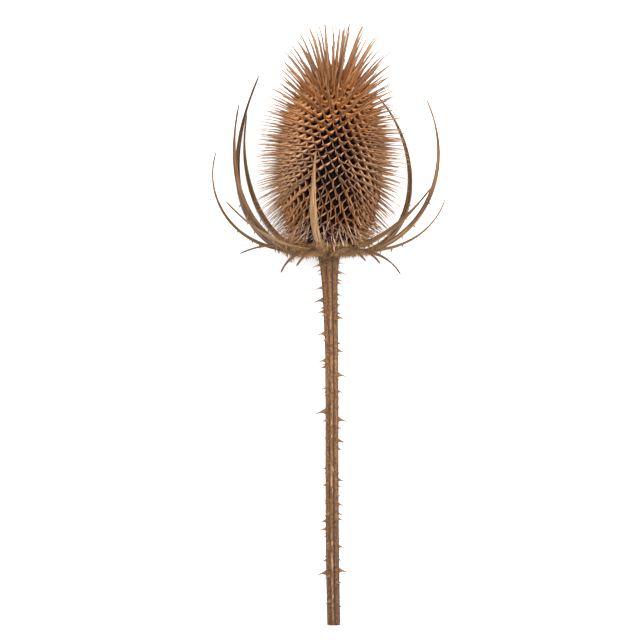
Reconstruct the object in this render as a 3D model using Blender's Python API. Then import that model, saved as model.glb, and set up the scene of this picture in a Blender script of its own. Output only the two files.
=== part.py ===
"""A dried teasel seed head on its cut, prickly stem, lying as it rests on a table.

The plant is modelled in its own frame: X to the right, Y up the plant from the foot of the
head, Z towards the side that is seen. A parent empty lays it down on the floor plane.
"""

import math

import bmesh
import bpy
import numpy as np
from mathutils import Euler, Matrix, Vector
from mathutils.geometry import delaunay_2d_cdt

MM = 0.001

# How the plant lies: its axis pitched up to the head, rolled onto two bracts and the cut end.
LIE_PITCH = math.radians(10.62)
LIE_ROLL = math.radians(1.40)
HEAD_FOOT_AT = (-0.092 * MM, 25.688 * MM, 25.36 * MM)

# The head is an egg. Its surface is the rim of the honeycomb that the bases of the paleae make.
HEAD_FOOT = 0.35 * MM
HEAD_WAIST = 25.0 * MM
HEAD_TOP = 57.0 * MM
HEAD_RADIUS = 16.6 * MM
HEAD_DROP = 27.0 * MM
FOOT_SQUARENESS = 2.4
HEAD_BEND_RADIUS = 735.0 * MM
FOOT_CORNERS = 40

# Paleae: one spine and one cell each, packed like discs round the head.
RISING_SPIRALS = 34
FALLING_SPIRALS = 21
CELL = 2.73 * MM
CELL_SPREAD = 0.03
CELL_DEPTH = 3.2 * MM
CELL_CENTRE = 0.72 * CELL
SPINE_HALF_WIDTH = 0.6 * MM
SPINE_HALF_THICKNESS = 0.42 * MM
TUFT_SWELL = 0.45
SPINE_SCATTER = math.radians(3.0)
SPINE_LENGTH_SPREAD = 0.08
BEARINGS = 2880
BARE_TOP = 0.45 * CELL
BARE_FOOT = 0.3 * CELL
NEIGHBOURS_WITHIN = 1.4 * CELL
SEED = 7

# Height of a palea up the head, and there its spine's length and lean from square to the head.
SPINE_RUN = (
    (0 * MM, 5.6 * MM, -10),
    (6 * MM, 7.6 * MM, -27),
    (15 * MM, 8.6 * MM, -30),
    (21 * MM, 8.8 * MM, -15),
    (26 * MM, 8.8 * MM, -5),
    (38 * MM, 9.2 * MM, -6),
    (43 * MM, 9.8 * MM, 0),
    (47 * MM, 10.4 * MM, 5),
    (51 * MM, 12.0 * MM, 7),
    (53 * MM, 14.8 * MM, 8),
    (55 * MM, 17.4 * MM, 13),
    (57 * MM, 18.6 * MM, 4),
)
TUFT_FROM = 9.4 * MM
TUFT_RUN = 6 * MM
LIFT_STEP = math.radians(4)
LIFT_MOST = math.radians(96)
LIFT_PASSED_ON = math.radians(16)
SPINE_CLEARANCE = 0.6 * MM

# The stem: distance below the foot of the head, sideways bow and radius. The first is its collar.
STEM_RUN = (
    (-0.05 * MM, 0.0, 4.0 * MM),
    (2.9 * MM, 0.0, 3.9 * MM),
    (4.6 * MM, 0.0, 3.3 * MM),
    (7.5 * MM, 0.1 * MM, 2.85 * MM),
    (12.0 * MM, 0.2 * MM, 2.55 * MM),
    (21.0 * MM, 0.5 * MM, 2.3 * MM),
    (36.0 * MM, 0.9 * MM, 2.12 * MM),
    (54.0 * MM, 1.0 * MM, 2.1 * MM),
    (72.0 * MM, 1.0 * MM, 2.1 * MM),
    (90.0 * MM, 1.05 * MM, 2.1 * MM),
    (108.0 * MM, 1.25 * MM, 2.1 * MM),
    (126.7 * MM, 1.6 * MM, 2.05 * MM),
)
STEM_STATIONS = 24
STEM_RIDGES = 8
RIDGE_HEIGHT = 0.06
RIDGE_TWIST = math.radians(8)

# Prickles are five-sided cones. Those at the outlines and along the front, as distance down and
# length in millimetres; the rest stand in rows of this spacing, large and small by turns.
LEFT_PRICKLES = (
    (6.6, 2.0), (14.2, 2.5), (18.3, 3.5), (22.1, 2.5), (29.4, 2.7), (38.4, 2.6), (40.6, 2.2),
    (55.4, 3.9), (74.4, 1.1), (80.0, 1.2), (91.9, 2.0), (94.6, 2.3), (105.0, 1.6), (109.2, 3.6),
)
RIGHT_PRICKLES = (
    (9.0, 2.6), (12.6, 1.9), (16.5, 1.7), (19.8, 1.5), (24.1, 2.7), (35.2, 2.5), (43.2, 3.1),
    (58.1, 3.4), (65.1, 2.4), (67.9, 1.5), (78.2, 2.4), (86.4, 2.1), (89.5, 1.4), (100.4, 2.2),
    (108.4, 3.4), (112.5, 1.0),
)
FRONT_PRICKLES = (
    (27.3, 2.6), (46.9, 2.8), (59.3, 2.2), (63.6, 2.0), (74.6, 2.6), (81.7, 2.4), (99.3, 2.6),
    (106.8, 2.8), (117.1, 2.4),
)
PRICKLE_ROWS = (48, 132, 225, 268, 312)
PRICKLE_GAP = 9.6 * MM
PRICKLE_FIRST = 6.5 * MM
PRICKLE_LENGTHS = (2.9 * MM, 1.5 * MM, 2.2 * MM)
PRICKLE_SIDES = 5
PRICKLE_FATNESS = 0.26
PRICKLE_SUNK = 0.5 * MM
PRICKLE_DROOP = 0.35
CUT_END_CLEAR = 5.0 * MM
BARE_UNDERSIDE = 17.0 * MM

# Bracts of the involucre. Each runs out from the collar and turns up round the head.
# Name, bearing at root and tip, length, rise at root and tip, bend, root height, width.
BRACT_ROOT_RADIUS = 4.35 * MM
UPPER_TIER = -0.7 * MM
LOWER_TIER = -1.9 * MM
SPUR_TIER = -2.8 * MM
BRACTS = (
    ("bract_right_outer", 347, 360, 42.5 * MM, -11, 75, 1.32, UPPER_TIER, 1.6 * MM),
    ("bract_right_long", 8, 19, 71.6 * MM, -14, 116, 0.77, LOWER_TIER, 2.5 * MM),
    ("bract_right_front", 33, 26, 40.2 * MM, -18, 54, 0.49, UPPER_TIER, 2.2 * MM),
    ("bract_front", 105, 98, 47.9 * MM, -4, 104, 1.01, UPPER_TIER, 2.8 * MM),
    ("bract_left_slender", 131, 151, 40.1 * MM, -14, 53, 0.79, UPPER_TIER, 1.2 * MM),
    ("bract_left_front", 158, 136, 69.5 * MM, -20, 96, 0.60, LOWER_TIER, 2.4 * MM),
    ("bract_left_outer", 183, 173, 56.9 * MM, -12, 110, 1.15, UPPER_TIER, 1.8 * MM),
    ("bract_left_long", 204, 234, 85.5 * MM, -21, 113, 0.67, LOWER_TIER, 2.5 * MM),
    ("bract_left_back", 228, 224, 69.0 * MM, -20, 108, 0.76, UPPER_TIER, 2.3 * MM),
    ("bract_under_left", 255, 249, 69.0 * MM, -8, 104, 0.58, LOWER_TIER, 2.5 * MM),
    ("bract_under_right", 285, 291, 68.0 * MM, -8, 104, 0.58, UPPER_TIER, 2.5 * MM),
    ("bract_right_back", 329, 311, 77.8 * MM, -13, 144, 0.93, LOWER_TIER, 2.5 * MM),
)
SPURS = (
    ("spur_right_long", 25, 13, 23.6 * MM, 14, -65, 1.29, SPUR_TIER, 1.3 * MM),
    ("spur_right_mid", 43, 42, 20.1 * MM, 14, -51, 1.52, SPUR_TIER, 1.2 * MM),
    ("spur_right_short", 74, 65, 25.6 * MM, 12, -46, 1.98, SPUR_TIER, 1.2 * MM),
    ("spur_left_short", 114, 120, 19.0 * MM, 17, -50, 1.10, SPUR_TIER, 1.3 * MM),
    ("spur_left_mid", 143, 143, 18.8 * MM, 18, -65, 1.00, SPUR_TIER, 1.5 * MM),
    ("spur_left_long", 169, 168, 27.3 * MM, 20, -28, 1.28, SPUR_TIER, 1.2 * MM),
    ("spur_back_left", 238, 240, 16.0 * MM, 6, -14, 1.00, SPUR_TIER, 1.2 * MM),
    ("spur_back_right", 302, 300, 14.0 * MM, 6, -12, 1.00, SPUR_TIER, 1.2 * MM),
)
BRACT_STATIONS = 15
SPUR_STATIONS = 8
BRACT_CORE = 0.35 * MM
BRACT_DEPTH_SHARE = 0.62
ROOT_NARROWING = 0.28
ROOT_THINNING = 0.45
ROOT_REACH = 0.12
# Sections, in half widths and depths: a trough has two margins up, a channel between and a
# keel below, and a spur is a lozenge.
TROUGH = ((1.0, 0.38), (0.0, 0.1), (-1.0, 0.38), (-0.62, -0.18), (0.0, -0.5), (0.62, -0.18))
LOZENGE = ((1.0, 0.0), (0.0, 0.5), (-1.0, 0.0), (0.0, -0.5))
BRACT_PRICKLES = 5
BRACT_PRICKLE_FROM, BRACT_PRICKLE_TO = 0.14, 0.47
BRACT_PRICKLE_LENGTH = 1.3 * MM

# Linear colour, roughness.
FINISHES = {
    "palea_brown": ((0.33, 0.17, 0.075), 0.72),
    "stem_brown": ((0.26, 0.14, 0.065), 0.75),
    "bract_straw": ((0.36, 0.22, 0.10), 0.7),
}


def egg_radius(y):
    """Radius of the head at height y: an ellipse over the waist, a squarer one under it."""
    over = np.clip((y - HEAD_WAIST) / (HEAD_TOP - HEAD_WAIST), 0, 1)
    under = np.clip((HEAD_WAIST - y) / HEAD_DROP, 0, 1)
    lower = (1 - under**FOOT_SQUARENESS) ** (1 / FOOT_SQUARENESS)
    return HEAD_RADIUS * np.sqrt(1 - over**2) * lower


def egg_profile():
    """The head's outline, foot to top: height, radius, arc length, slope of its normal, and
    the radius of a flat map of the head that keeps every angle true."""
    below = np.linspace(HEAD_FOOT, HEAD_WAIST, 160)
    above = HEAD_WAIST + (HEAD_TOP - HEAD_WAIST) * np.sin(np.linspace(0, math.pi / 2, 320))
    y = np.concatenate([below, above[1:]])
    r = np.maximum(egg_radius(y), 1e-3 * MM)
    step = np.hypot(np.diff(y), np.diff(r))
    s = np.concatenate([[0], np.cumsum(step)])
    slope = np.arctan2(-np.gradient(r, s), np.gradient(y, s))
    spread = np.concatenate([[0], np.cumsum(step * 2 / (r[1:] + r[:-1]))])
    return {"y": y, "r": r, "s": s, "slope": slope, "map": np.exp(-spread)}


def along(profile, what, s):
    return np.interp(s, profile["s"], profile[what])


def first_zigzag():
    """Climb and bearing of the first paleae: a closed zigzag of one cell's steps, up along the
    rising spirals and down along the falling ones, so both kinds of spiral run on from it."""
    rising = np.linspace(0, math.asin(FALLING_SPIRALS / RISING_SPIRALS), 4000)
    falling = np.arcsin(RISING_SPIRALS / FALLING_SPIRALS * np.sin(rising))
    span = CELL * (RISING_SPIRALS * np.cos(rising) + FALLING_SPIRALS * np.cos(falling))
    fit = int(np.argmin(np.abs(span - 2 * math.pi * HEAD_RADIUS)))
    climb, across, ring = 0.0, 0.0, []
    for _ in range(RISING_SPIRALS + FALLING_SPIRALS):
        ring.append((climb, -across / span[fit] * 2 * math.pi))
        angle = rising[fit] if climb <= 1e-9 else -falling[fit]
        climb += CELL * math.sin(angle)
        across += CELL * math.cos(angle)
    return ring


def pack_cells(profile, rng):
    """Sites (arc length, bearing) of the paleae. A zigzag of them goes round the waist, and each
    further one takes the lowest gap left on the front, as discs stack, up and then down."""
    bearings = np.linspace(0, 2 * math.pi, BEARINGS, endpoint=False)
    ring = first_zigzag()
    waist = np.interp(HEAD_WAIST, profile["y"], profile["s"])
    sites = [(waist + climb, bearing) for climb, bearing in ring]
    room_above = profile["s"][-1] - BARE_TOP - waist
    room_below = waist - BARE_FOOT
    for way, room in ((1, room_above), (-1, room_below)):
        front = np.full(BEARINGS, -1.0)
        fresh = [(way * climb, bearing) for climb, bearing in ring]
        while True:
            for climb, bearing in fresh:
                reach = CELL * (1 + CELL_SPREAD * rng.uniform(-1, 1))
                radius = along(profile, "r", waist + way * climb)
                chord = 2 * radius * np.abs(np.sin((bearings - bearing) / 2))
                dome = climb + np.sqrt(np.clip(reach**2 - chord**2, 0, None))
                front = np.where(chord < reach, np.maximum(front, dome), front)
            lowest = int(np.argmin(front))
            if front[lowest] > room:
                break
            fresh = [(float(front[lowest]), bearings[lowest])]
            sites.append((waist + way * fresh[0][0], bearings[lowest]))
    return np.array(sites)


def leaned(points):
    """Points of the upright head, moved sideways as its axis bends over to the right."""
    x, y, z = np.moveaxis(points, -1, 0)
    return np.stack([x + y**2 / (2 * HEAD_BEND_RADIUS), y, z], -1)


def leaned_way(way, y):
    """Directions on the upright head at height y, turned with its bent axis."""
    turn = y / HEAD_BEND_RADIUS
    x, up, z = np.moveaxis(way, -1, 0)
    return np.stack([x * np.cos(turn) + up * np.sin(turn), up * np.cos(turn) - x * np.sin(turn), z], -1)


def on_head(profile, s, bearing, sunk=0.0):
    """Points at arc length s and a bearing, sunk below the honeycomb's rim square to it."""
    slope = along(profile, "slope", s)
    r = along(profile, "r", s) - sunk * np.cos(slope)
    y = along(profile, "y", s) - sunk * np.sin(slope)
    return leaned(np.stack([r * np.cos(bearing), y, r * np.sin(bearing)], -1))


def heading(bearing, rise):
    """Unit vectors that point out at a bearing and climb at an angle."""
    flat = np.cos(rise)
    return np.stack([flat * np.cos(bearing), np.sin(rise), flat * np.sin(bearing)], -1)


def spines(profile, sites, rng, lines):
    """Root, direction and length of each palea's spine, lifted where a bract is in its way."""
    s, bearing = sites.T
    y = along(profile, "y", s)
    scatter = rng.uniform(-1, 1, (len(sites), 3))
    heights, lengths, leans = np.array(SPINE_RUN).T
    length = np.interp(y, heights, lengths) * (1 + SPINE_LENGTH_SPREAD * scatter[:, 0])
    lean = np.radians(np.interp(y, heights, leans))
    rise = along(profile, "slope", s) + lean + SPINE_SCATTER * scatter[:, 1]
    course = bearing + SPINE_SCATTER * scatter[:, 2]
    root = on_head(profile, s, bearing)
    lift = np.zeros(len(sites))
    for i in np.argsort(s):
        below = (s < s[i]) & (np.linalg.norm(root - root[i], axis=1) < NEIGHBOURS_WITHIN)
        if below.any():
            lift[i] = max(0.0, lift[below].max() - LIFT_PASSED_ON)
        while lift[i] < LIFT_MOST:
            way = leaned_way(heading(course[i], rise[i] + lift[i]), y[i])
            if clear_of_bracts(root[i], way, length[i], lines):
                break
            lift[i] += LIFT_STEP
    return root, leaned_way(heading(course, rise + lift), y), length


def clear_of_bracts(root, way, length, lines):
    """Whether a straight spine keeps off every bract's middle line, by the bract's half width."""
    points = root + np.linspace(0.1, 1.0, 9)[:, None] * length * way
    for line, half_width in lines:
        gap = np.linalg.norm(points[:, None] - line[None], axis=2).min(0)
        if (gap < half_width + SPINE_CLEARANCE).any():
            return False
    return True


def honeycomb_head(profile, sites, root, way, length):
    """The head as one closed skin: cells sunk between rims, a four-sided spine on each palea.

    The skin is triangulated on the flat map, where the foot is the outer edge and the top the
    middle, and then every point is raised to its place on the head."""
    s, bearing = sites.T
    swell = 1 + TUFT_SWELL * np.clip((length - TUFT_FROM) / TUFT_RUN, 0, 1)
    thick, wide = SPINE_HALF_THICKNESS * swell, SPINE_HALF_WIDTH * swell
    turn = wide / along(profile, "r", s)
    last = profile["s"][-1]
    corner_s = np.minimum(np.stack([s, s + thick, s, s - thick], 1), last)
    corner_turn = np.stack([bearing + turn, bearing, bearing - turn, bearing], 1)
    pits = s + CELL_CENTRE < last - 0.3 * MM
    foot = np.linspace(0, 2 * math.pi, FOOT_CORNERS, endpoint=False)
    all_s = np.concatenate([corner_s.ravel(), (s + CELL_CENTRE)[pits], np.zeros(FOOT_CORNERS)])
    all_turn = np.concatenate([corner_turn.ravel(), bearing[pits], foot])
    sunk = np.zeros(len(all_s))
    sunk[4 * len(s) : 4 * len(s) + pits.sum()] = CELL_DEPTH
    points = on_head(profile, all_s, all_turn, sunk)
    radius = along(profile, "map", all_s)
    flat = [Vector(p) for p in zip(radius * np.cos(all_turn), radius * np.sin(all_turn))]
    quads = [tuple(range(4 * i, 4 * i + 4)) for i in range(len(s))]
    rim = [(len(flat) - FOOT_CORNERS + i, len(flat) - FOOT_CORNERS + (i + 1) % FOOT_CORNERS)
           for i in range(FOOT_CORNERS)]
    _, _, faces, origin, _, owners = delaunay_2d_cdt(flat, rim, quads, 0, 1e-9)
    tips = root + way * length[:, None]
    mesh = bmesh.new()
    corners = [mesh.verts.new(points[of[0]]) for of in origin]
    tip_verts = [mesh.verts.new(tip) for tip in tips]
    place = {of[0]: k for k, of in enumerate(origin)}
    for face, owner in zip(faces, owners):
        if not owner:
            mesh.faces.new([corners[k] for k in face])
    for i, quad in enumerate(quads):
        ring = [corners[place[k]] for k in quad]
        for a, b in zip(ring, ring[1:] + ring[:1]):
            mesh.faces.new((a, b, tip_verts[i]))
    mesh.faces.new([corners[place[a]] for a, _ in rim])
    bmesh.ops.recalc_face_normals(mesh, faces=mesh.faces)
    return mesh


def loft(rings, tip=None):
    """A closed skin through rings of points, ending in a tip point or a flat cap."""
    mesh = bmesh.new()
    rows = [[mesh.verts.new(point) for point in ring] for ring in rings]
    count = len(rows[0])
    for row, after in zip(rows, rows[1:]):
        for k in range(count):
            mesh.faces.new((row[k], row[(k + 1) % count], after[(k + 1) % count], after[k]))
    mesh.faces.new(rows[0])
    if tip is None:
        mesh.faces.new(rows[-1])
    else:
        apex = mesh.verts.new(tip)
        for k in range(count):
            mesh.faces.new((rows[-1][k], rows[-1][(k + 1) % count], apex))
    bmesh.ops.recalc_face_normals(mesh, faces=mesh.faces)
    return mesh


def stem_line(down):
    """Middle points and radii of the stem at distances down from the foot of the head."""
    depths, bows, radii = np.array(STEM_RUN).T
    x = np.interp(down, depths, bows)
    return np.stack([x, -down, np.zeros_like(down)], -1), np.interp(down, depths, radii)


def stem_skin():
    """The stem as a loft of ridged rounds, closer together at the collar."""
    depths = np.array(STEM_RUN)[:, 0]
    collar = depths[:4]
    shaft = np.linspace(depths[3], depths[-1], STEM_STATIONS - 3)[1:]
    down = np.concatenate([collar, shaft])
    middle, radius = stem_line(down)
    rings = []
    for point, r, depth in zip(middle, radius, down):
        turns = np.arange(2 * STEM_RIDGES) * math.pi / STEM_RIDGES
        ridge = 1 + RIDGE_HEIGHT * np.cos(STEM_RIDGES * turns)
        turns = turns + RIDGE_TWIST * depth / depths[-1]
        ring = np.stack([np.cos(turns), 0 * turns, np.sin(turns)], -1)
        rings.append(point + ring * (r * ridge)[:, None])
    return loft(rings)


def prickle(point, out, droop, length):
    """A cone whose root is sunk in what it grows from and whose point hangs towards droop."""
    mesh = bmesh.new()
    bmesh.ops.create_cone(
        mesh, cap_ends=True, segments=PRICKLE_SIDES, radius1=length * PRICKLE_FATNESS, radius2=0,
        depth=length + PRICKLE_SUNK,
    )
    bmesh.ops.translate(mesh, verts=mesh.verts, vec=(0, 0, (length - PRICKLE_SUNK) / 2))
    way = (Vector(out) + Vector(droop) * PRICKLE_DROOP).normalized()
    place = Matrix.Translation(Vector(point)) @ way.to_track_quat("Z", "Y").to_matrix().to_4x4()
    bmesh.ops.transform(mesh, matrix=place, verts=mesh.verts)
    return mesh


def prickle_places(rng):
    """Bearing, distance down and length of every prickle on the stem."""
    places = [(180 + rng.uniform(-14, 14), down * MM, size * MM) for down, size in LEFT_PRICKLES]
    places += [(rng.uniform(-14, 14), down * MM, size * MM) for down, size in RIGHT_PRICKLES]
    places += [(90 + rng.uniform(-7, 7), down * MM, size * MM) for down, size in FRONT_PRICKLES]
    for number, row in enumerate(PRICKLE_ROWS):
        end = STEM_RUN[-1][0] - (BARE_UNDERSIDE if 200 < row < 340 else CUT_END_CLEAR)
        start = PRICKLE_FIRST + PRICKLE_GAP * ((number * 0.618) % 1)
        for k, down in enumerate(np.arange(start, end, PRICKLE_GAP)):
            down = np.clip(down + rng.uniform(-0.25, 0.25) * PRICKLE_GAP, PRICKLE_FIRST, end)
            size = PRICKLE_LENGTHS[(number + k) % len(PRICKLE_LENGTHS)] * rng.uniform(0.8, 1.1)
            places.append((row + rng.uniform(-9, 9), down, size))
    return places


def stem_prickles(rng):
    """The stem's prickles, hanging a little towards the cut end."""
    made = []
    for bearing, down, length in prickle_places(rng):
        middle, radius = stem_line(down)
        out = np.array([math.cos(math.radians(bearing)), 0.0, math.sin(math.radians(bearing))])
        made.append(prickle(middle + out * radius, out, (0, -1, 0), length))
    return made


def bract_line(spec, stations):
    """Middle points, directions and inward normals of a bract, by its turning rise."""
    _, root, tip, length, rise_root, rise_tip, bend, height, _ = spec
    t = np.linspace(0, 1, stations)
    rise = np.radians(rise_root + (rise_tip - rise_root) * t**bend)
    step = length / (stations - 1)
    mean = (rise[1:] + rise[:-1]) / 2
    r = BRACT_ROOT_RADIUS + np.concatenate([[0], np.cumsum(np.cos(mean) * step)])
    y = height + np.concatenate([[0], np.cumsum(np.sin(mean) * step)])
    bearing = np.radians(root + (tip - root) * t)
    points = np.stack([r * np.cos(bearing), y, r * np.sin(bearing)], -1)
    ahead = np.gradient(points, axis=0)
    ahead /= np.linalg.norm(ahead, axis=1)[:, None]
    inward = heading(bearing, rise + math.pi / 2)
    inward -= (inward * ahead).sum(1)[:, None] * ahead
    inward /= np.linalg.norm(inward, axis=1)[:, None]
    return t, points, ahead, inward


def bract_width(t, width):
    """Width along a bract: a little narrow at the root, then tapering to the tip."""
    root = 1 - ROOT_NARROWING * (1 - np.minimum(t / ROOT_REACH, 1))
    return width * root * (1 - t**3)


def bract_depth(t, width):
    """Depth from margin to keel along a bract, in step with its width but thinner at the root."""
    root = 1 - ROOT_THINNING * (1 - np.minimum(t / ROOT_REACH, 1))
    return bract_width(t, width) * (BRACT_DEPTH_SHARE + BRACT_CORE / width) * root


def bract_skin(spec, stations, section):
    """A bract as a loft of one section along its line, closed to a point at the tip."""
    t, points, ahead, inward = bract_line(spec, stations)
    side = np.cross(ahead, inward)
    width, depth = bract_width(t, spec[-1]), bract_depth(t, spec[-1])
    rings = [
        [points[k] + side[k] * across * width[k] / 2 + inward[k] * up * depth[k]
         for across, up in section]
        for k in range(stations - 1)
    ]
    return loft(rings, tip=points[-1])


def bract_prickles(spec, stations, rng):
    """A few prickles along the keel of a long bract, hooked back towards its root."""
    t, points, ahead, inward = bract_line(spec, stations)
    made = []
    for share in np.linspace(BRACT_PRICKLE_FROM, BRACT_PRICKLE_TO, BRACT_PRICKLES):
        share += 0.03 * rng.uniform(-1, 1)
        here = [np.array([np.interp(share, t, part[:, axis]) for axis in range(3)])
                for part in (points, ahead, inward)]
        keel = here[0] - here[2] * bract_depth(share, spec[-1]) / 2
        length = BRACT_PRICKLE_LENGTH * rng.uniform(0.7, 1.1)
        made.append(prickle(keel, -here[2], -here[1], length))
    return made


def finish(name):
    """The Principled material of a finish."""
    made = bpy.data.materials.get(name) or bpy.data.materials.new(name)
    colour, roughness = FINISHES[name]
    made.use_nodes = True
    shader = made.node_tree.nodes["Principled BSDF"]
    shader.inputs["Base Color"].default_value = (*colour, 1)
    shader.inputs["Roughness"].default_value = roughness
    shader.inputs["Metallic"].default_value = 0
    return made


def add_object(name, mesh, collection, parent=None, material=None):
    """Puts a bmesh into the scene as an object."""
    data = bpy.data.meshes.new(name)
    mesh.to_mesh(data)
    mesh.free()
    made = bpy.data.objects.new(name, data)
    collection.objects.link(made)
    made.parent = parent
    if material:
        data.materials.append(finish(material))
    return made


def fuse(target, pieces):
    """Joins prickles to the object they grow from, with one Boolean union on a collection."""
    cutters = bpy.data.collections.new("prickles_of_" + target.name)
    bpy.context.scene.collection.children.link(cutters)
    for number, mesh in enumerate(pieces):
        add_object(f"prickle_{number}", mesh, cutters, parent=target.parent)
    bpy.context.view_layer.update()
    union = target.modifiers.new("prickles", "BOOLEAN")
    union.operand_type = "COLLECTION"
    union.collection = cutters
    union.operation = "UNION"
    union.solver = "MANIFOLD"
    graph = bpy.context.evaluated_depsgraph_get()
    fused = bpy.data.meshes.new_from_object(target.evaluated_get(graph))
    target.modifiers.remove(union)
    plain = target.data
    target.data = fused
    fused.name = target.name
    bpy.data.meshes.remove(plain)
    for piece in list(cutters.objects):
        bpy.data.objects.remove(piece)
    bpy.data.collections.remove(cutters)


def flatten_on_floor(piece, lie):
    """Shaves off what would lie below the floor, so the piece rests on a small flat spot."""
    to_plant = lie.inverted()
    mesh = bmesh.new()
    mesh.from_mesh(piece.data)
    everything = mesh.verts[:] + mesh.edges[:] + mesh.faces[:]
    cut = bmesh.ops.bisect_plane(
        mesh, geom=everything, plane_co=to_plant.translation,
        plane_no=to_plant.to_3x3() @ Vector((0, 0, -1)), clear_outer=True,
    )
    edges = [e for e in cut["geom_cut"] if isinstance(e, bmesh.types.BMEdge)]
    if edges:
        bmesh.ops.holes_fill(mesh, edges=edges)
        bmesh.ops.recalc_face_normals(mesh, faces=mesh.faces)
        mesh.to_mesh(piece.data)
    mesh.free()


def build():
    """Clears the scene and builds every node of the plant under one empty."""
    for old in list(bpy.data.objects):
        bpy.data.objects.remove(old)
    plant = bpy.data.collections.new("teasel_seed_head")
    bpy.context.scene.collection.children.link(plant)
    lying = bpy.data.objects.new("lying_plant", None)
    plant.objects.link(lying)
    lying.rotation_euler = Euler((LIE_PITCH, LIE_ROLL, 0.0))
    lying.location = HEAD_FOOT_AT
    bpy.context.view_layer.update()
    lie = lying.matrix_world.copy()

    rng = np.random.default_rng(SEED)
    lines = []
    for spec in BRACTS + SPURS:
        t, points, _, _ = bract_line(spec, 60)
        lines.append((points, bract_width(t, spec[-1]) / 2))
    profile = egg_profile()
    sites = pack_cells(profile, rng)
    root, way, length = spines(profile, sites, rng, lines)
    head = honeycomb_head(profile, sites, root, way, length)
    add_object("seed_head", head, plant, lying, "palea_brown")

    stem = add_object("stem", stem_skin(), plant, lying, "stem_brown")
    fuse(stem, stem_prickles(rng))
    for spec in BRACTS:
        skin = bract_skin(spec, BRACT_STATIONS, TROUGH)
        bract = add_object(spec[0], skin, plant, lying, "bract_straw")
        fuse(bract, bract_prickles(spec, BRACT_STATIONS, rng))
    for spec in SPURS:
        skin = bract_skin(spec, SPUR_STATIONS, LOZENGE)
        add_object(spec[0], skin, plant, lying, "bract_straw")
    for piece in plant.objects:
        if piece.type == "MESH" and piece.name != "seed_head":
            flatten_on_floor(piece, lie)
            piece.data.shade_flat()


build()
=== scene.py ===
"""A dried teasel seed head on its cut, prickly stem, lying on a pale floor and seen from above.

Every piece is worked out in the plant's own frame (X right, Y up the plant from the foot of the
head, Z towards the side that is seen) and then laid down as the solid model lies.
"""

import math

import bpy
import numpy as np
from mathutils import Euler, Matrix, Vector


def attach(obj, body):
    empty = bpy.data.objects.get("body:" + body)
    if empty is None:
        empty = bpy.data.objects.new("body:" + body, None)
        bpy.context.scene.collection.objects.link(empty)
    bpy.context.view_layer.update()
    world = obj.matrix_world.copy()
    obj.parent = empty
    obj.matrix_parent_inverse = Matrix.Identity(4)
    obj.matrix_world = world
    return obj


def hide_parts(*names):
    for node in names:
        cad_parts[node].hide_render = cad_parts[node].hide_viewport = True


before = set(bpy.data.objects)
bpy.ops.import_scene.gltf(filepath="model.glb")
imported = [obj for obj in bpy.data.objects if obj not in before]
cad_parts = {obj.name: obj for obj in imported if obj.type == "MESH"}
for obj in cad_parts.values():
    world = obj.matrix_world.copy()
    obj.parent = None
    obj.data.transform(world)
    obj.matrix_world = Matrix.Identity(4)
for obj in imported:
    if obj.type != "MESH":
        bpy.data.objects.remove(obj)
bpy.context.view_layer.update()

MM = 0.001

# How the plant lies, as in the solid model.
LIE_PITCH = math.radians(10.62)
LIE_ROLL = math.radians(1.40)
HEAD_FOOT_AT = (-0.092 * MM, 25.688 * MM, 25.36 * MM)

# The head.
HEAD_FOOT = 0.35 * MM
HEAD_WAIST = 25.0 * MM
HEAD_TOP = 57.0 * MM
HEAD_RADIUS = 16.6 * MM
HEAD_DROP = 27.0 * MM
FOOT_SQUARENESS = 2.4
HEAD_BEND_RADIUS = 735.0 * MM
RISING_SPIRALS = 34
FALLING_SPIRALS = 21
CELL = 2.73 * MM
CELL_SPREAD = 0.03
SPINE_SCATTER = math.radians(3.0)
SPINE_LENGTH_SPREAD = 0.08
TUFT_SWELL = 0.45
BEARINGS = 2880
BARE_TOP = 0.45 * CELL
BARE_FOOT = 0.3 * CELL
NEIGHBOURS_WITHIN = 1.4 * CELL
# How the two upper neighbours of a palea are found, and where one would be past the top.
CELL_SLANT = math.radians(43)
SLANT_SLACK = math.radians(40)
SLANT_COST = 1.2 * CELL
NEIGHBOUR_GAPS = (0.3 * CELL, 1.9 * CELL)
NEXT_UP = 0.7 * CELL
NEXT_ACROSS = 0.66 * CELL
SEED = 7
# Height of a palea up the head, its spine's length there, both in millimetres, and the spine's
# lean in degrees from square to the head.
SPINE_RUN = (
    (0, 5.6, -10),
    (6, 7.6, -27),
    (15, 8.6, -30),
    (21, 8.8, -15),
    (26, 8.8, -5),
    (38, 9.2, -6),
    (43, 9.8, 0),
    (47, 10.4, 5),
    (51, 12.0, 7),
    (53, 14.8, 8),
    (55, 17.4, 13),
    (57, 18.6, 4),
)
TUFT_FROM = 9.4 * MM
TUFT_RUN = 6 * MM
LIFT_STEP = math.radians(4)
LIFT_MOST = math.radians(96)
LIFT_PASSED_ON = math.radians(16)
SPINE_CLEARANCE = 0.6 * MM

# A palea, ring by ring from the bottom of its cell to the point of its spine: how far out the
# ring is (millimetres of depth, then of height, then a share of the spine), how much of the
# way to its upper neighbours its two wings reach and rise, and how thick wings and keel are.
PALEA_DEPTHS = (-3.3, -0.9, 0.0)
PALEA_HEIGHTS = (0.9, 2.1, 3.8)
PALEA_SHARES = (0.78,)
PALEA_REACH = (0.97, 0.97, 0.95, 0.37, 0.24, 0.17, 0.125, 0.055)
PALEA_RISE = (1.0, 1.0, 1.0, 0.9, 0.75, 0.6, 0.5, 0.4)
PALEA_WALL = (1.20, 0.62, 0.36, 0.22, 0.18, 0.16, 0.12, 0.09)
PALEA_KEEL = (1.10, 0.70, 0.36, 0.34, 0.34, 0.28, 0.20, 0.10)
PALEA_SAG = 0.572 * MM
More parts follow.
